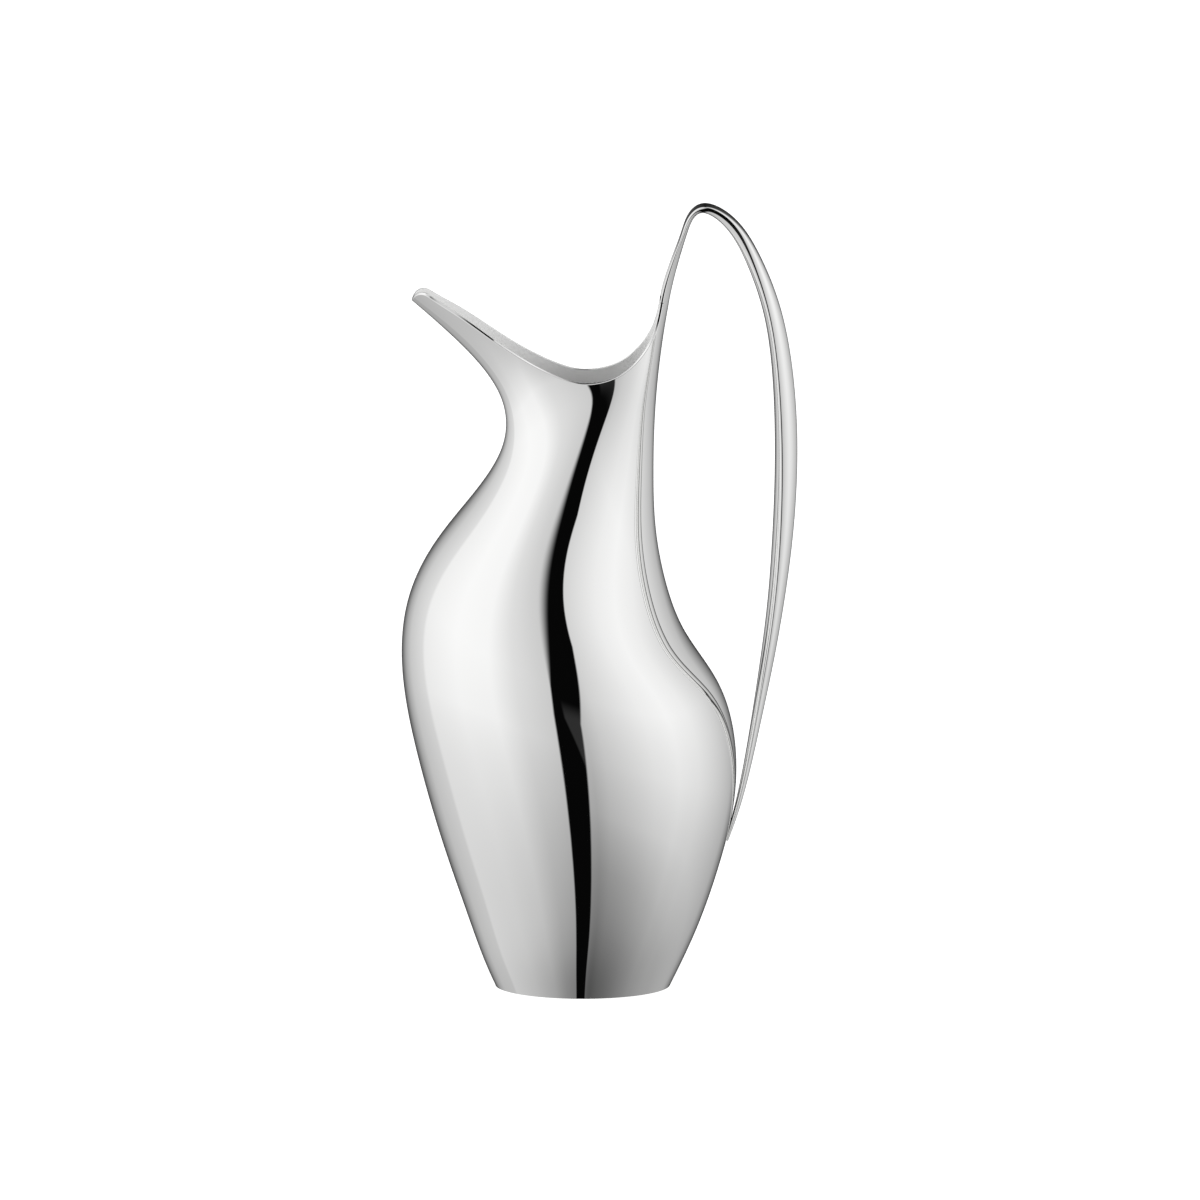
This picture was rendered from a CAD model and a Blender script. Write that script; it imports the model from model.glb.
import math

import bpy
import numpy as np
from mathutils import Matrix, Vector


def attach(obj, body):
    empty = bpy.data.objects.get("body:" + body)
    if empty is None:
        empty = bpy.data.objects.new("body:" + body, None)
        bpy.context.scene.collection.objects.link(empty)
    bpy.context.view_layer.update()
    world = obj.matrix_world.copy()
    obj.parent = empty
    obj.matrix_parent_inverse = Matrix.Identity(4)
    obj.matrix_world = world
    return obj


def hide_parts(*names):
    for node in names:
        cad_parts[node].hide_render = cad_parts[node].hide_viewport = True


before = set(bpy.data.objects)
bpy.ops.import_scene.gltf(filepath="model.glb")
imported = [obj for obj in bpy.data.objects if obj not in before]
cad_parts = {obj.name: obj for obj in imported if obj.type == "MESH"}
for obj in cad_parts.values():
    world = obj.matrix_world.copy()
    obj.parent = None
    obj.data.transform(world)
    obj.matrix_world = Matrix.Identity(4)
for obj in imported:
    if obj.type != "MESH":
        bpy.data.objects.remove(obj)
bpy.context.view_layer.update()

bpy.ops.object.select_all(action="DESELECT")


# ---- Body halves -----------------------------------------------------------------
# The body is two deep pressings of 1.2 mm stainless sheet, left and right, that meet on
# the middle plane. The mouth's lip is eased at its corners, and at the back the sheet
# runs up into a narrow tongue that carries the handle. Both are polished to a mirror.

MM = 0.001
SHEET = 1.2            # thickness of the sheet, in millimetres
HALF_WELD = 0.3        # the halves stop this far from the middle plane
TONGUE_TOP = 250.0     # height where the sheet ends and the handle begins
FOOT_RADIUS = 32.4
ROUND = 16             # control points round the body and the handle
LAND_TURN = math.radians(65)   # the lip's narrow land faces up and a little outwards
CORNER = 0.35          # radius of the lip's two rounded corners
LIP_DROP = 0.6         # the flat of the sheet ends this far below the lip
ROWS = 132             # rows of faces from foot to mouth
TONGUE_COLUMNS = 14    # columns of faces across half of the tongue
MOUTH_COLUMNS = 132    # columns of faces from the tongue round to the spout

# Control ovals of the pressing from the foot up, in millimetres:
# (front x, z), (back x, z), (side x, z), half width.
OVALS = [
    ((-FOOT_RADIUS, 0.0), (FOOT_RADIUS, 0.0), (0.0, 0.0), FOOT_RADIUS),
    ((-37.5, 10.5), (42.8, 20.8), (3.0, 16.8), 40.8),
    ((-44.0, 29.0), (51.2, 45.2), (3.8, 37.6), 48.7),
    ((-52.8, 53.6), (57.5, 69.2), (1.9, 61.9), 56.0),
    ((-61.2, 83.1), (57.2, 92.8), (-2.8, 87.2), 60.6),
    ((-67.7, 113.2), (51.3, 111.9), (-8.9, 111.7), 60.5),
    ((-66.5, 140.6), (37.7, 127.5), (-12.5, 134.2), 54.9),
    ((-55.3, 162.5), (31.0, 145.5), (-11.6, 154.6), 44.9),
    ((-39.3, 180.2), (26.7, 166.5), (-6.8, 174.1), 34.2),
    ((-27.6, 197.0), (26.2, 186.8), (-1.7, 192.1), 27.4),
    ((-28.2, 214.8), (26.3, 209.6), (3.9, 208.0), 23.3),
    ((-42.0, 232.5), (28.6, 235.8), (7.9, 222.0), 21.0),
]

# The last control ring, just above the mouth, from the back round to the spout.
MOUTH_OVAL = [
    (35.0, 0.0, 264.0), (31.0, 5.5, 260.5), (27.3, 12.0, 251.5), (21.0, 17.0, 240.0),
    (8.3, 20.6, 233.0), (-11.7, 21.6, 234.6), (-36.0, 18.0, 244.4), (-58.5, 7.0, 255.0),
    (-71.6, 0.0, 254.8),
]

# Side view of the mouth's edge, from the lip of the spout to the tongue.
MOUTH_EDGE = [
    (-61.9, 250.4), (-61.0, 251.9), (-59.3, 253.1), (-57.2, 253.3), (-54.4, 251.9),
    (-45.4, 246.4), (-30.0, 236.0), (-15.5, 227.6), (-8.0, 224.4), (-1.0, 222.6),
    (6.3, 223.0), (13.5, 225.5), (19.0, 229.6), (22.5, 233.6), (25.2, 238.0),
    (27.3, 244.0), (28.5, TONGUE_TOP),
]


def oval(front, back, side, half_width):
    """Control points of one tilted oval, from the back round to the back again."""
    angle = 2 * np.pi * np.arange(ROUND) / ROUND
    x, z = [
        (f + b + 2 * s) / 4 + (b - f) / 2 * np.cos(angle) + (f + b - 2 * s) / 4 * np.cos(2 * angle)
        for f, b, s in zip(front, back, side)
    ]
    return np.stack([x, half_width * np.sin(angle), z], axis=1)


def body_net():
    """The control rings, continued by two below the foot and by one above the mouth."""
    half = np.array(MOUTH_OVAL)
    mouth = np.concatenate([half, half[-2:0:-1] * (1, -1, 1)])
    rings = [oval(*row) for row in OVALS] + [mouth]
    below = 2 * rings[0] - rings[1]
    return np.array([2 * below - rings[0], below, *rings, 2 * rings[-1] - rings[-2]])


def blend(t):
    """Weights of four neighbouring control points at the share t of a span."""
    return (
        (1 - t) ** 3 / 6,
        (3 * t**3 - 6 * t**2 + 4) / 6,
        (-3 * t**3 + 3 * t**2 + 3 * t + 1) / 6,
        t**3 / 6,
    )


def on_net(net, ring, column):
    """Points of the smooth skin over a control net, for arrays of ring and column numbers."""
    ring, column = np.broadcast_arrays(np.asarray(ring, float), np.asarray(column, float))
    first_ring = np.clip(np.floor(ring).astype(int), 0, len(net) - 4)
    first_column = np.floor(column).astype(int)
    total = 0
    for i, along in enumerate(blend(ring - first_ring)):
        for j, across in enumerate(blend(column - first_column)):
            points = net[first_ring + i, (first_column + j - 1) % ROUND]
            total = total + (along * across)[..., None] * points
    return total


def unit(vectors):
    """Vectors of length one."""
    return vectors / np.linalg.norm(vectors, axis=-1, keepdims=True)


NUDGE = 1e-3           # step for slopes, in rings or columns
BODY = body_net()
MOUTH_RING = len(BODY) - 3   # number of the last control ring
SPOUT = ROUND / 2      # column number of the spout; the handle's column is 0


def skin(ring, column):
    """Outer skin of the body."""
    return on_net(BODY, ring, column)


def skin_normal(ring, column):
    """Outward direction of the body's skin."""
    up = skin(ring + NUDGE, column) - skin(ring - NUDGE, column)
    across = skin(ring, column + NUDGE) - skin(ring, column - NUDGE)
    return unit(np.cross(across, up))


def smooth_line(points, steps):
    """A curve of even bend through the points, as many points."""
    points = np.array(points, float)
    reach = np.concatenate([[0], np.cumsum(np.linalg.norm(np.diff(points, axis=0), axis=1))])
    span = np.diff(reach)
    count = len(points)
    system = np.eye(count)
    wanted = np.zeros_like(points)
    for k in range(1, count - 1):
        system[k, k - 1:k + 2] = span[k - 1], 2 * (span[k - 1] + span[k]), span[k]
        wanted[k] = 6 * (
            (points[k + 1] - points[k]) / span[k] - (points[k] - points[k - 1]) / span[k - 1]
        )
    bend = np.linalg.solve(system, wanted)
    place = np.linspace(0, reach[-1], steps)
    k = np.clip(np.searchsorted(reach, place, side="right") - 1, 0, count - 2)
    h = span[k][:, None]
    t = (place - reach[k])[:, None]
    slope = (points[k + 1] - points[k]) / h - h * (2 * bend[k] + bend[k + 1]) / 6
    return points[k] + slope * t + bend[k] * t**2 / 2 + (bend[k + 1] - bend[k]) * t**3 / (6 * h)


def sheet_edge():
    """Side view of the line where the flat of the sheet ends and its lip begins."""
    line = smooth_line(MOUTH_EDGE, 400)
    along = unit(np.gradient(line, axis=0))
    inward = line + LIP_DROP * np.stack([along[:, 1], -along[:, 0]], axis=1)
    keep = np.concatenate([[True], inward[1:, 0] > np.maximum.accumulate(inward[:, 0])[:-1]])
    return inward[keep]


EDGE = sheet_edge()
LIP_FALL = 2.0         # slope of the cut below the lip, square to the wall of the spout
NECK_RING = 8.0        # the whole edge of the mouth lies above this ring
TONGUE_REACH = 3.0     # the tongue's edge lies within this many columns of the handle
TONGUE_POINTS = 60     # points of the mouth's edge that belong to the tongue
CUT_LIMIT = TONGUE_TOP + 9   # the cut is followed no higher than this


def above_edge(ring, column):
    """How far a point of the skin lies above the end of the sheet."""
    point = skin(ring, column)
    x, z = point[..., 0], point[..., 2]
    height = np.interp(x, EDGE[:, 0], EDGE[:, 1], right=TONGUE_TOP)
    height = np.minimum(height + LIP_FALL * np.minimum(x - EDGE[0, 0], 0), CUT_LIMIT)
    height = np.where(x > EDGE[-1, 0], TONGUE_TOP, height)
    return z - height


def crossing(distance, low, high, rounds=40):
    """Where a rising distance passes zero between two numbers, by halving."""
    low, high = np.broadcast_arrays(np.asarray(low, float), np.asarray(high, float))
    for _ in range(rounds):
        middle = (low + high) / 2
        past = distance(middle) > 0
        low, high = np.where(past, low, middle), np.where(past, middle, high)
    return (low + high) / 2


def edge_ring(column):
    """Ring number where the sheet ends on a column."""
    return crossing(lambda ring: above_edge(ring, column), NECK_RING + 0 * column, MOUTH_RING)


def ring_at_height(height, column):
    """Ring number at a height on a column."""
    return crossing(
        lambda ring: skin(ring, column)[..., 2] - height, NECK_RING + 0 * column, MOUTH_RING
    )


def tongue_column(height):
    """Column number of the tongue's edge at a height, on the right side."""
    edge_x = np.interp(height, EDGE[-TONGUE_POINTS:, 1], EDGE[-TONGUE_POINTS:, 0])
    return crossing(
        lambda column: edge_x - skin(ring_at_height(height, column), column)[..., 0],
        np.array(0.0), np.array(TONGUE_REACH),
    )


def seam_column(ring, middle, side):
    """Column number near the handle or the spout where the skin stands off the middle plane."""
    column = np.full(np.shape(ring), float(middle))
    for _ in range(4):
        across = (skin(ring, column + NUDGE) - skin(ring, column - NUDGE))[..., 1] / (2 * NUDGE)
        column = column - (skin(ring, column)[..., 1] - side * HALF_WELD) / across
    return column


TONGUE_CORNER = float(tongue_column(TONGUE_TOP))

# directions that the lip's outer and inner corners face, from outwards round to inwards
OUTER_TURN = np.linspace(0, LAND_TURN, 5)[1:]
INNER_TURN = np.linspace(LAND_TURN, math.pi, 5)[:-1]
LIP_POINTS = len(OUTER_TURN) + len(INNER_TURN)


def lip(point, outward, beyond):
    """The lip: a rounded outer corner, a narrow land that faces up, a rounded inner corner."""
    turn = np.concatenate([OUTER_TURN, INNER_TURN])[:, None, None]
    is_inner = (np.arange(LIP_POINTS) >= len(OUTER_TURN))[:, None, None]
    facing = np.cos(turn) * outward + np.sin(turn) * beyond
    rise = (SHEET - 2 * CORNER) / math.tan(LAND_TURN)
    outer_middle = point - CORNER * outward
    inner_middle = point - (SHEET - CORNER) * outward + rise * beyond
    return np.where(is_inner, inner_middle, outer_middle) + CORNER * facing, facing


def edge_direction(column):
    """Outward, and square to the edge of the mouth, at the end of the sheet."""
    near = column + NUDGE
    before = skin(edge_ring(column), column)
    along = skin(edge_ring(near), near) - before
    beyond = unit(np.cross(skin_normal(edge_ring(column), column), along))
    # the edge runs from the handle to the spout, and the sheet lies below it
    return beyond * np.where(beyond[..., 2:] > 0, 1, -1)


def pressing(low_edge, high_edge, share, rooted):
    """Sections of a strip of the body between two seams, and their normals.

    Each section runs up the outer face, over the mouth and down the inner face.
    low_edge and high_edge give a seam's column for a ring; rooted marks the columns that
    end flat under the handle instead of in a lip.
    """
    top = np.full(len(share), float(MOUTH_RING) - 1)
    for _ in range(4):
        column = (1 - share) * low_edge(top[:1]) + share * high_edge(top[-1:])
        top = edge_ring(column)
    climb = np.linspace(0, 1, ROWS + 1)[:, None]

    def face(start):
        rings = start + (top - start) * climb
        columns = (1 - share) * low_edge(rings[:, :1]) + share * high_edge(rings[:, -1:])
        return rings, columns

    rings, columns = face(1.0)
    outer, outward = skin(rings, columns), skin_normal(rings, columns)
    foot = np.ones(len(share))
    for _ in range(4):
        inner_z = (skin(foot, columns[0]) - SHEET * skin_normal(foot, columns[0]))[:, 2]
        foot = foot - inner_z / (skin(foot + 1, columns[0]) - skin(foot, columns[0]))[:, 2]
    inner_rings, inner_columns = face(foot)
    inward = -skin_normal(inner_rings, inner_columns)
    inner = skin(inner_rings, inner_columns) + SHEET * inward
    edge, facing = lip(outer[-1], outward[-1], edge_direction(column))
    for k in range(LIP_POINTS):
        flat = outer[-1] + (inner[-1] - outer[-1]) * (k + 1) / (LIP_POINTS + 1)
        edge[k][rooted] = flat[rooted]
    sections = np.concatenate([outer, edge, inner[::-1]]).transpose(1, 0, 2)
    normals = np.concatenate([outward, facing, inward[::-1]]).transpose(1, 0, 2)
    return sections, normals


def solid(name, sections, normals, flat=(), mirrored=False, inside=None):
    """A closed piece through its sections, each a closed loop of points in millimetres.

    flat lists the strips along the piece, by the number of their first point, that are cut
    faces and not polished curves. The two end faces are flat too. inside marks the points
    of a section that lie on the inner face.
    """
    count, around = sections.shape[:2]
    number = np.arange(count * around).reshape(count, around)
    after = np.roll(number, -1, axis=1)
    sides = np.stack([number[:-1], number[1:], after[1:], after[:-1]], axis=-1)
    cut = np.zeros(sides.shape[:2], bool)
    for strips, columns in flat:
        cut[columns, strips] = True
    sides, cut = sides.reshape(-1, 4), cut.reshape(-1)
    j = np.arange(around // 2 - 1)
    rungs = np.stack([j, j + 1, around - 2 - j, around - 1 - j], axis=-1)
    faces = np.concatenate([sides, rungs, rungs[:, ::-1] + number[-1, 0]])
    cut = np.concatenate([cut, np.ones(2 * len(rungs), bool)])
    points = sections.reshape(-1, 3) * MM
    facing = normals.reshape(-1, 3).copy()
    if mirrored:
        points, facing = points * (1, -1, 1), facing * (1, -1, 1)
    # the winding is turned where it disagrees with the normals
    a, b, c, d = points[sides[:, 0]], points[sides[:, 1]], points[sides[:, 2]], points[sides[:, 3]]
    agreement = (np.cross(c - a, d - b) * facing[sides[:, 0]]).sum()
    if agreement < 0:
        faces = faces[:, ::-1]
    mesh = bpy.data.meshes.new(name)
    mesh.from_pydata(points.tolist(), [], faces.tolist())
    mesh.polygons.foreach_set("use_smooth", ~cut)
    corner = facing[faces]
    a, b, c, d = (points[faces[:, k]] for k in range(4))
    own = np.cross(c - a, d - b)
    own = own / np.maximum(np.linalg.norm(own, axis=1, keepdims=True), 1e-12)
    corner[cut] = own[cut][:, None, :]
    mesh.normals_split_custom_set(corner.reshape(-1, 3).tolist())
    if inside is not None:
        mark = mesh.attributes.new("inside", "FLOAT", "POINT")
        mark.data.foreach_set("value", np.tile(inside.astype(np.float32), count))
    piece = bpy.data.objects.new(name, mesh)
    bpy.context.collection.objects.link(piece)
    return piece


def right_shares():
    """Places of the columns of one half, from the handle's seam to the spout's."""
    top = edge_ring(np.array([0.0, SPOUT]))
    low = seam_column(top[:1], 0, 1)
    high = seam_column(top[1:], SPOUT, 1)
    corner = float((TONGUE_CORNER - low[0]) / (high[0] - low[0]))
    column = np.linspace(TONGUE_CORNER, high[0], 600)
    rim = skin(edge_ring(column), column)
    reach = np.concatenate([[0], np.cumsum(np.linalg.norm(np.diff(rim, axis=0), axis=1))])
    even = 0.5 * reach / reach[-1] + 0.5 * np.linspace(0, 1, len(column))
    mouth = np.interp(np.linspace(0, 1, MOUTH_COLUMNS + 1), even, column)
    mouth = (mouth - low[0]) / (high[0] - low[0])
    return np.concatenate([np.linspace(0, corner, TONGUE_COLUMNS + 1)[:-1], mouth])


shares = right_shares()
half_rooted = np.arange(len(shares)) < TONGUE_COLUMNS
half_sections, half_normals = pressing(
    lambda ring: seam_column(ring, 0, 1), lambda ring: seam_column(ring, SPOUT, 1),
    shares, half_rooted,
)
lip_strips = slice(ROWS, ROWS + LIP_POINTS + 1)
foot_strip = half_sections.shape[1] - 1
half_flat = [
    (lip_strips, slice(0, TONGUE_COLUMNS)),
    (foot_strip, slice(None)),
]
body_inside = np.arange(half_sections.shape[1]) > ROWS + LIP_POINTS
body_right = solid(
    "pressed_half_right", half_sections, half_normals, half_flat, inside=body_inside
)
body_left = solid(
    "pressed_half_left", half_sections, half_normals, half_flat, True, body_inside
)


class Finish:
    """One value in a finish: arithmetic on it adds the Math nodes."""

    def __init__(self, tree, socket=None):
        self.tree = tree
        self.socket = socket

    def node(self, kind, settings, inputs, output=0):
        """Adds a node, its settings first and then the values or links of its sockets."""
        made = self.tree.nodes.new("ShaderNode" + kind)
        for name, value in settings.items():
            if name == "stops":
                stops = made.color_ramp.elements
                while len(stops) < len(value):
                    stops.new(0.5)
                for stop, (place, level) in zip(stops, value):
                    stop.position = place
                    stop.color = (level, level, level, 1)
            elif name == "easing":
                made.color_ramp.interpolation = value
            else:
                setattr(made, name, value)
        for name, value in inputs.items():
            if isinstance(value, Finish):
                self.tree.links.new(value.socket, made.inputs[name])
            else:
                made.inputs[name].default_value = value
        return None if output is None else Finish(self.tree, made.outputs[output])

    def maths(self, operation, *values):
        """Adds a Math node on the listed values."""
        return self.node("Math", {"operation": operation}, dict(enumerate(values)))

    def __add__(self, other):
        return self.maths("ADD", self, other)

    def __radd__(self, other):
        return self.maths("ADD", other, self)

    def __sub__(self, other):
        return self.maths("SUBTRACT", self, other)

    def __rsub__(self, other):
        return self.maths("SUBTRACT", other, self)

    def __mul__(self, other):
        return self.maths("MULTIPLY", self, other)

    def __rmul__(self, other):
        return self.maths("MULTIPLY", other, self)

    def __truediv__(self, other):
        return self.maths("DIVIDE", self, other)

    def step(self, low, high):
        """From 0 to 1, eased, as the value goes from low to high."""
        return self.node(
            "MapRange", {"interpolation_type": "SMOOTHSTEP"},
            {"Value": self, "From Min": low, "From Max": high},
        )


def new_finish(name):
    """An empty metal finish: its material, its shader and the start of its expressions."""
    material = bpy.data.materials.new(name)
    material.use_nodes = True
    shader = material.node_tree.nodes["Principled BSDF"]
    shader.inputs["Metallic"].default_value = 1.0
    return material, shader, Finish(material.node_tree)


def feed(start, shader, **values):
    """Links the varying values of a finish to its shader."""
    for name, value in values.items():
        start.tree.links.new(value.socket, shader.inputs[name.replace("_", " ")])


def noise(start, place, scale, detail=3.0, stretch=(1, 1, 1)):
    """Cloudy variation, its size given as a number of clouds in a metre."""
    turned = start.node("Mapping", {}, {"Vector": place, "Scale": stretch})
    return start.node("TexNoise", {}, {"Vector": turned, "Scale": scale, "Detail": detail})


def polished_steel():
    """Mirror-polished stainless steel with faint haze and wiped marks, satin inside the body."""
    material, shader, start = new_finish("mirror_steel")
    place = start.node("TexCoord", {}, {}, output=3)
    haze = noise(start, place, 45.0)
    wiped = noise(start, place, 300.0, stretch=(1, 1, 0.12))
    shader.inputs["Base Color"].default_value = (0.96, 0.96, 0.955, 1)
    inside = start.node("Attribute", {"attribute_name": "inside"}, {}, output=2)
    polish = 0.012 + 0.015 * haze.step(0.45, 0.75) + 0.01 * wiped.step(0.5, 0.8)
    roughness = polish + inside * 0.42
    ripple = noise(start, place, 70.0, detail=1.0)
    bump = start.node("Bump", {}, {"Height": ripple, "Strength": 0.12, "Distance": 0.00006})
    feed(start, shader, Roughness=roughness, Metallic=1 - 0.92 * inside, Normal=bump)
    return material


mirror_steel = polished_steel()
for piece, node in ((body_right, "body_half_right"), (body_left, "body_half_left")):
    piece.data.materials.append(mirror_steel)
    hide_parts(node)
    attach(piece, "root")


# ---- Seam welds --------------------------------------------------------------------
# The halves are butt welded from the foot up the front to the lip and up the back to the
# tongue. The beads are ground flush and polished, so only a slight haze gives them away.

WELD_COLUMNS = 4


def welded_steel():
    """Ground and polished weld metal, a little hazier than the sheet beside it."""
    material, shader, start = new_finish("ground_weld_steel")
    place = start.node("TexCoord", {}, {}, output=3)
    ripple = noise(start, place, 900.0, detail=2.0)
    shader.inputs["Base Color"].default_value = (0.94, 0.94, 0.93, 1)
    bump = start.node("Bump", {}, {"Height": ripple, "Strength": 0.1, "Distance": 0.00002})
    feed(start, shader, Roughness=0.05 + 0.05 * ripple.step(0.4, 0.7), Normal=bump)
    return material


weld_steel = welded_steel()
weld_share = np.linspace(0, 1, WELD_COLUMNS + 1)
for name, node, middle, rooted in (
    ("front_seam_bead", "body_front_weld", SPOUT, False),
    ("back_seam_bead", "body_back_weld", 0, True),
):
    # the side of the middle plane changes with the way round that the columns run
    first = 1 if middle else -1
    sections, normals = pressing(
        lambda ring: seam_column(ring, middle, first),
        lambda ring: seam_column(ring, middle, -first),
        weld_share, np.full(len(weld_share), rooted),
    )
    flat = [(foot_strip, slice(None))] + ([(lip_strips, slice(None))] if rooted else [])
    bead = solid(name, sections, normals, flat)
    bead.data.materials.append(weld_steel)
    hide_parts(node)
    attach(bead, "root")


# ---- Handle ------------------------------------------------------------------------
# The handle grows out of the tongue as a solid strap, turns over at the top and swells
# into a hollow grip of two pressed halves, then runs out in a solid tail that lies on
# the belly. Strap, grip and tail are butt welded, and the tail's tip is brazed down.

GRIP_SHEET = 1.0
STRAP_END = 47.0       # the strap ends at this distance from the middle
TAIL_TOP = 74.0        # the grip ends at this height
BRAZE_TOP = 58.0       # below this height the tip of the tail is braze
BUTT = 0.6             # width of a butt weld
FACE_POINTS = 12       # points on half of one face of the tongue
EDGE_ANGLE = 0.38      # share of the way round that the lip turns into

# Stations from the tongue over the top and down to the tip, in millimetres: centre x, z,
# thickness, half width, place of the widest line from the inner face, how far the middle
# of the strap bows to the hand, and roundness: 1 is an oval, less is flatter at the sides.
STATIONS = [
    (29.3, 246.5, 1.3, 8.2, 0.50, 1.6, 1.0), (33.1, 263.7, 1.4, 7.0, 0.50, 1.1, 0.9),
    (36.5, 276.8, 1.8, 6.3, 0.50, 0.8, 0.6), (39.4, 282.2, 2.2, 6.1, 0.50, 0.5, 0.45),
    (43.7, 284.4, 2.9, 6.0, 0.50, 0.2, 0.35), (50.2, 281.2, 3.7, 6.3, 0.55, 0.0, 0.35),
    (56.0, 275.3, 4.7, 6.8, 0.55, 0.0, 0.4), (61.0, 266.6, 5.4, 7.3, 0.42, 0.0, 0.6),
    (67.6, 250.6, 6.3, 8.0, 0.30, 0.0, 0.85), (71.5, 232.4, 7.1, 8.4, 0.25, 0.0, 1.0),
    (73.5, 208.0, 8.2, 8.6, 0.25, 0.0, 1.0), (73.5, 184.4, 8.2, 8.5, 0.30, 0.0, 1.0),
    (72.2, 162.5, 7.5, 8.0, 0.37, 0.0, 1.0), (70.0, 140.6, 6.0, 7.1, 0.42, 0.0, 1.0),
    (66.7, 118.7, 5.0, 6.0, 0.45, 0.0, 1.0), (62.7, 96.7, 3.6, 4.7, 0.45, 0.0, 1.0),
    (59.4, 79.2, 2.8, 3.6, 0.50, 0.0, 1.0), (55.9, 64.4, 2.1, 2.6, 0.50, 0.0, 1.0),
    (52.1, 53.0, 1.2, 1.6, 0.50, 0.0, 1.0),
]
NET_SHRINK = (2 + math.cos(2 * math.pi / ROUND)) / 3   # skin radius over control radius


def handle_net(wall):
    """Control rings along the handle, smaller all round by a wall."""
    rings = []
    for number, (x, z, thickness, half_width, widest, bow, roundness) in enumerate(STATIONS):
        before = STATIONS[max(number - 1, 0)]
        after = STATIONS[min(number + 1, len(STATIONS) - 1)]
        along = unit(np.array([after[0] - before[0], 0, after[1] - before[1]]))
        outward = np.array([-along[2], 0, along[0]])
        angle = 2 * np.pi * np.arange(ROUND) / ROUND
        inner, outer = thickness * widest - wall, thickness * (1 - widest) - wall
        across, down = [np.sign(c) * np.abs(c) ** roundness for c in (np.sin(angle), np.cos(angle))]
        side = (half_width - wall) * across / NET_SHRINK
        depth = -down * np.where(down > 0, inner, outer) / NET_SHRINK
        depth = depth - bow * (1 - (side / half_width) ** 2)
        middle = np.array([x, 0, z]) + outward * thickness * (widest - 0.5)
        rings.append(middle + np.outer(depth, outward) + np.outer(side, (0, 1, 0)))
    return np.array([2 * rings[0] - rings[1], *rings, 2 * rings[-1] - rings[-2]])


HANDLE = handle_net(0.0)
HANDLE_HOLLOW = handle_net(GRIP_SHEET)


def tongue_outline(height):
    """Right half of the tongue's section, from its hand side round to its mouth side."""
    share = np.linspace(0, 1, FACE_POINTS + 1)
    column = tongue_column(height) * share
    ring = ring_at_height(height, column)
    outer, outward = skin(ring, column), skin_normal(ring, column)
    edge, _ = lip(outer[-1:], outward[-1:], edge_direction(column[-1:]))
    return np.concatenate([outer, edge[:, 0], (outer - SHEET * outward)[::-1]])


face_angles = np.linspace(0, math.pi / 2 - EDGE_ANGLE, FACE_POINTS + 1)
edge_angles = np.linspace(face_angles[-1], math.pi - face_angles[-1], LIP_POINTS + 2)[1:-1]
HALF_ANGLES = np.concatenate([face_angles, edge_angles, math.pi - face_angles[::-1]])
TONGUE = tongue_outline(TONGUE_TOP)
TONGUE_SLOPE = TONGUE - tongue_outline(TONGUE_TOP - 1)
LEAD_STATION = 2       # the tongue's section has died away at this station
LEAD_IN = STATIONS[LEAD_STATION][1] - TONGUE_TOP


def handle_skin(place, angle):
    """Points of the handle: first it leaves the tongue, and then it follows its stations."""
    place, angle = np.broadcast_arrays(np.asarray(place, float), np.asarray(angle, float))
    column = angle * ROUND / (2 * np.pi)
    later = on_net(HANDLE, np.maximum(place, LEAD_STATION), column)
    end = on_net(HANDLE, LEAD_STATION, column)
    leaving = (on_net(HANDLE, LEAD_STATION + NUDGE, column) - end) / NUDGE * LEAD_STATION
    turned = np.where(angle > np.pi, 2 * np.pi - angle, angle)
    side = np.where(angle > np.pi, -1.0, 1.0)

    def from_tongue(values):
        parts = [np.interp(turned, HALF_ANGLES, values[:, axis]) for axis in range(3)]
        return np.stack([parts[0], parts[1] * side, parts[2]], axis=-1)

    t = np.clip(place / LEAD_STATION, 0, 1)[..., None]
    lead = (
        (2 * t**3 - 3 * t**2 + 1) * from_tongue(TONGUE)
        + (t**3 - 2 * t**2 + t) * from_tongue(TONGUE_SLOPE) * LEAD_IN
        + (-2 * t**3 + 3 * t**2) * end
        + (t**3 - t**2) * leaving
    )
    return np.where(place[..., None] < LEAD_STATION, lead, later)


def handle_normal(surface, place, angle):
    """Outward direction of the handle."""
    along = surface(place + NUDGE, angle) - surface(place - NUDGE, angle)
    around = surface(place, angle + NUDGE) - surface(place, angle - NUDGE)
    return unit(np.cross(along, around))


def hollow_skin(place, angle):
    """Points of the hollow inside the grip."""
    return on_net(HANDLE_HOLLOW, place, np.asarray(angle, float) * ROUND / (2 * np.pi))


def place_at(surface, axis, value, angle, low, high):
    """Place along the handle where a coordinate reaches a value."""
    rising = surface(high, angle)[..., axis] > surface(low, angle)[..., axis]
    sign = np.where(rising, 1.0, -1.0)
    return crossing(
        lambda place: sign * (surface(place, angle)[..., axis] - value),
        low + 0 * angle, high + 0 * angle,
    )


FULL_ANGLES = np.concatenate([HALF_ANGLES, 2 * np.pi - HALF_ANGLES[-2:0:-1]])
LAST = len(STATIONS) - 1


def root_end(angle, surface):
    """The end of the handle on the tongue."""
    return 0 * angle


def tip_end(angle, surface):
    """The end of the handle on the belly."""
    return float(LAST) + 0 * angle


def butt_end(axis, value, low, high):
    """An end of a piece of the handle, cut flat across one axis."""
    return lambda angle, surface: place_at(surface, axis, value, angle, low, high)


weld_over_root = butt_end(2, TONGUE_TOP + BUTT, 0.0, 1.0)
strap_end = butt_end(0, STRAP_END, 3.0, 6.5)
grip_start = butt_end(0, STRAP_END + BUTT, 3.0, 6.5)
grip_end = butt_end(2, TAIL_TOP + BUTT, 14.0, 17.5)
tail_start = butt_end(2, TAIL_TOP, 14.0, 17.5)
braze_start = butt_end(2, BRAZE_TOP, 16.0, float(LAST))


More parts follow.
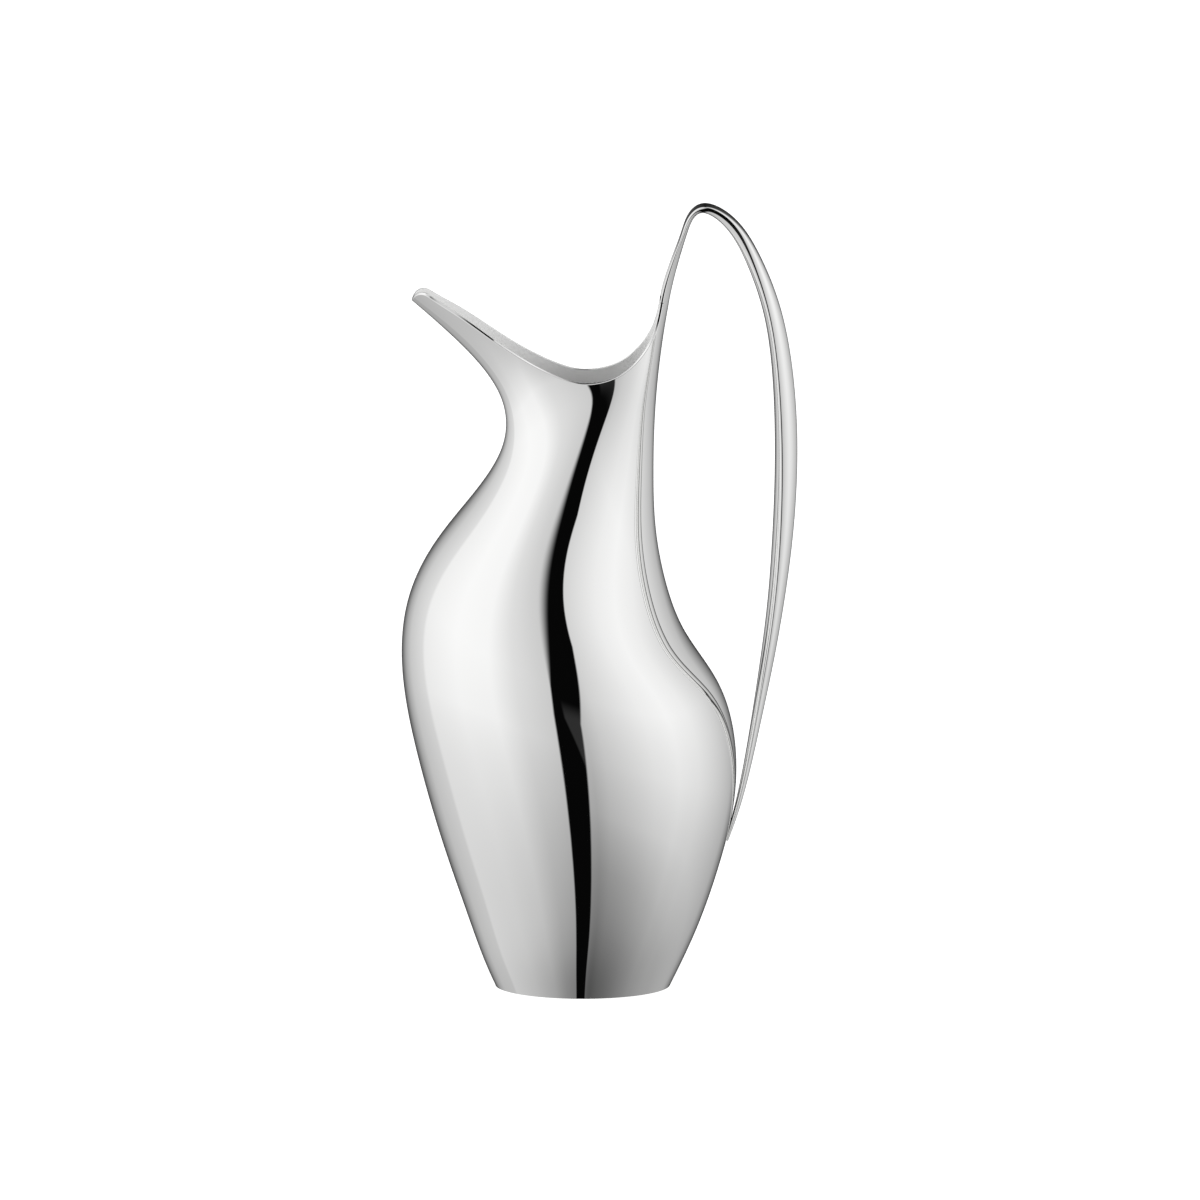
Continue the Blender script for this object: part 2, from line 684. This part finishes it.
def along_handle(surface, angle, start, end, count):
    """Places and angles of a stretch of the handle, from one end to the other."""
    share = np.linspace(0, 1, count + 1)[:, None]
    first, last = start(angle, surface), end(angle, surface)
    return first + (last - first) * share, np.broadcast_to(angle, (count + 1, len(angle)))


def solid_stretch(name, start, end, count):
    """A solid stretch of the handle between two ends."""
    place, angle = along_handle(handle_skin, FULL_ANGLES, start, end, count)
    points = handle_skin(place, angle)
    normals = handle_normal(handle_skin, np.clip(place, NUDGE, None), angle)
    return solid(name, points, normals)


def seam_angle(surface, place, middle, side):
    """Angle near the inner or outer line of the handle that stands off the middle plane."""
    angle = np.full(np.shape(place), float(middle))
    for _ in range(5):
        across = surface(place, angle + NUDGE) - surface(place, angle - NUDGE)
        gap = surface(place, angle)[..., 1] - side * HALF_WELD
        angle = angle - gap / (across[..., 1] / (2 * NUDGE))
    return angle


GRIP_ROUND = 28        # faces round half of the grip
GRIP_STEPS = 150       # faces along the grip


def grip_face(surface, low, high, count):
    """One face of a half or of the seam bead: an arc of the grip between two seams."""
    share = np.linspace(0, 1, count + 1)
    guess = low[0] + (high[0] - low[0]) * share
    place, _ = along_handle(surface, guess, grip_start, grip_end, GRIP_STEPS)
    first = seam_angle(surface, place[:, :1], *low)
    last = seam_angle(surface, place[:, -1:], *high)
    angle = first + (last - first) * share
    place = along_handle(surface, angle[GRIP_STEPS // 2], grip_start, grip_end, GRIP_STEPS)[0]
    return surface(place, angle), handle_normal(surface, place, angle)


def grip_piece(name, low, high, count, mirrored=False):
    """A stretch of the grip's wall: its outer face, and its inner face going back."""
    outer, outward = grip_face(handle_skin, low, high, count)
    inner, inward = grip_face(hollow_skin, low, high, count)
    sections = np.concatenate([outer, inner[:, ::-1]], axis=1)
    normals = np.concatenate([outward, -inward[:, ::-1]], axis=1)
    cuts = [(count, slice(None)), (2 * count + 1, slice(None))]
    return solid(name, sections, normals, cuts, mirrored)


def fit_handle(piece, node, metal):
    """Gives a piece of the handle its metal, in place of its CAD node."""
    piece.data.materials.append(metal)
    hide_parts(node)
    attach(piece, "root")


for name, node, start, end, count, metal, slot in (
    ("root_bead", "handle_root_weld", root_end, weld_over_root, 3, weld_steel, "ground_weld"),
    ("solid_strap", "handle_strap", weld_over_root, strap_end, 90, mirror_steel, "polished_steel"),
    ("strap_bead", "handle_strap_weld", strap_end, grip_start, 2, weld_steel, "ground_weld"),
    ("tail_bead", "handle_tail_weld", grip_end, tail_start, 2, weld_steel, "ground_weld"),
    ("solid_tail", "handle_tail", tail_start, braze_start, 30, mirror_steel, "polished_steel"),
    ("tip_braze", "handle_braze", braze_start, tip_end, 12, weld_steel, "ground_weld"),
):
    fit_handle(solid_stretch(name, start, end, count), node, metal)

hand_seam, outer_seam = (0.0, 1), (math.pi, 1)
for name, node, mirrored in (
    ("grip_shell_right", "grip_half_right", False),
    ("grip_shell_left", "grip_half_left", True),
):
    shell = grip_piece(name, hand_seam, outer_seam, GRIP_ROUND, mirrored)
    fit_handle(shell, node, mirror_steel)

inner_bead = grip_piece("grip_bead", (0.0, -1), (0.0, 1), WELD_COLUMNS)
outer_bead = grip_piece("grip_bead_outer", (math.pi, 1), (math.pi, -1), WELD_COLUMNS)
bpy.ops.object.select_all(action="DESELECT")
outer_bead.select_set(True)
inner_bead.select_set(True)
bpy.context.view_layer.objects.active = inner_bead
bpy.ops.object.join()
fit_handle(inner_bead, "grip_seam_weld", weld_steel)


# ---- Base --------------------------------------------------------------------------
# A flat disc of sheet, turned on a lathe so that fine rings show, is let into the foot
# just above the table and held by a ring of weld inside the wall.


TURNED_RINGS = 14000.0   # turns of the wave that makes the rings, in radians per metre


def spun_steel():
    """Turned stainless sheet: fine rings about the middle, satin and a little uneven."""
    material, shader, start = new_finish("turned_steel")
    place = start.node("TexCoord", {}, {}, output=3)
    along = start.node("SeparateXYZ", {}, {"Vector": place})
    across = start.node("SeparateXYZ", {}, {"Vector": place}, output=1)
    radius = start.maths("SQRT", along * along + across * across)
    rings = start.maths("SINE", radius * TURNED_RINGS)
    cloud = noise(start, place, 120.0)
    shader.inputs["Base Color"].default_value = (0.86, 0.86, 0.85, 1)
    bump = start.node("Bump", {}, {"Height": rings, "Strength": 0.25, "Distance": 0.00002})
    feed(start, shader, Roughness=0.24 + 0.12 * cloud, Normal=bump)
    return material


for node, metal in (("base_disc", spun_steel()), ("base_weld", weld_steel)):
    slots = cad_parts[node].data.materials
    for k in range(len(slots)):
        slots[k] = metal


# ---- Floor -------------------------------------------------------------------------
# A plain pale sweep. It takes the pitcher's contact shadow; its own brightness is partly
# glow, as of a table lit from all round.

bpy.ops.object.select_all(action="DESELECT")
bpy.ops.mesh.primitive_plane_add(size=40, location=(0, 0, 0))
floor = bpy.context.object
floor.name = "floor"
floor.visible_glossy = False
pale = bpy.data.materials.new("pale_floor")
pale.use_nodes = True
pale_shader = pale.node_tree.nodes["Principled BSDF"]
pale_shader.inputs["Base Color"].default_value = (0.85, 0.85, 0.85, 1)
pale_shader.inputs["Roughness"].default_value = 1.0
pale_shader.inputs["Specular IOR Level"].default_value = 0.0
pale_shader.inputs["Emission Color"].default_value = (1, 1, 1, 1)
pale_shader.inputs["Emission Strength"].default_value = 0.7
floor.data.materials.append(pale)


# ---- Light -------------------------------------------------------------------------
# A white tent round the pitcher, brightest at the left and right, open in a narrow dark
# slit at the front and darker behind and near the table.

DEGREE = math.pi / 180
world = bpy.data.worlds.new("tent")
bpy.context.scene.world = world
world.use_nodes = True
world.node_tree.nodes.clear()
sky = Finish(world.node_tree)
direction = sky.node("TexCoord", {}, {}, output=0)
east = sky.node("SeparateXYZ", {}, {"Vector": direction})
north = sky.node("SeparateXYZ", {}, {"Vector": direction}, output=1)
rise = sky.node("SeparateXYZ", {}, {"Vector": direction}, output=2)
azimuth = sky.maths("ARCTAN2", east, north * -1.0) / DEGREE
elevation = sky.maths("ARCSINE", rise) / DEGREE


def tent_ramp(value, low, high, stops, easing="EASE"):
    """Brightness by an angle, as (degrees, level) pairs."""
    share = (value - low) / (high - low)
    places = [((angle - low) / (high - low), level) for angle, level in stops]
    return sky.node("ValToRGB", {"easing": easing, "stops": places}, {"Fac": share})


# brightness round the tent at eye level, from behind round the left, the front and the right
panels = tent_ramp(azimuth, -180, 180, [
    (-180, 0.01), (-172, 0.05), (-162, 0.20), (-152, 0.42), (-140, 0.62), (-119, 0.76),
    (-116, 0.90), (-80, 0.99), (-50, 0.96), (-30, 0.76), (-12, 0.66), (14, 0.55), (24, 0.66),
    (40, 0.76), (60, 0.88), (80, 0.95), (100, 0.88), (120, 0.74), (148, 0.54), (162, 0.25),
    (172, 0.05), (180, 0.01),
], "LINEAR")
# and how it falls off towards the table, less on the brighter left
left_fall = tent_ramp(elevation, -90, 90, [
    (-90, 0.10), (-64, 0.26), (-54, 0.43), (-44, 0.58), (-28, 0.78), (-12, 0.94), (12, 1.0),
], "LINEAR")
right_fall = tent_ramp(elevation, -90, 90, [
    (-90, 0.05), (-62, 0.15), (-52, 0.28), (-40, 0.46), (-28, 0.70), (-12, 0.86), (12, 1.0),
], "LINEAR")
side = azimuth.step(-12.0, 12.0)
tent = panels * (left_fall * (1 - side) + right_fall * side)
# the front is open in a black slit, crisp at its right and fading to the left higher up
low = sky.maths("MINIMUM", elevation, 0.0)
high = sky.maths("MAXIMUM", elevation, 0.0)
soft = 0.8 + 0.2 * sky.maths("MAXIMUM", high - 12.0, 0.0)
from_left = (azimuth + 5.5 - 0.12 * low - 0.19 * high) / soft
lean = 12.5 + 0.14 * low + 0.42 * high
from_right = sky.maths("MINIMUM", lean, 25.5) - azimuth
slit = from_left.step(-1.0, 1.0) * from_right.step(-0.8, 0.8)
slit = slit * (1 - elevation.step(50.0, 62.0))
right_of_core = (azimuth - 2.0 + 0.5 * low).step(-1.0, 1.0) * (1 - elevation.step(0.0, 8.0))
tent = tent * (1 - slit) + (0.002 + 0.026 * right_of_core) * slit
# the camera sees a plain white room, and only the metal sees the tent
path = sky.node("LightPath", {}, {})
background = sky.node("Background", {}, {"Color": tent * (1 - path) + path, "Strength": 1.0})
sky.node("OutputWorld", {}, {"Surface": background}, output=None)

bpy.context.scene.view_settings.view_transform = "Standard"


# ---- Camera ------------------------------------------------------------------------
# A long lens seven metres off, a little above the pitcher.

CAMERA_DISTANCE = 7.0
CAMERA_RISE = 9.45 * DEGREE
LENS = 579.5
AIM = Vector((0.006268, 0.0, 0.140787))
bpy.ops.object.camera_add(
    location=(0, -CAMERA_DISTANCE * math.cos(CAMERA_RISE), CAMERA_DISTANCE * math.sin(CAMERA_RISE))
)
camera = bpy.context.object
camera.rotation_euler = (AIM - camera.location).to_track_quat("-Z", "Y").to_euler()
camera.data.sensor_width = 36.0
camera.data.lens = LENS
camera.data.clip_start = 0.1
camera.data.clip_end = 100.0
bpy.context.scene.camera = camera
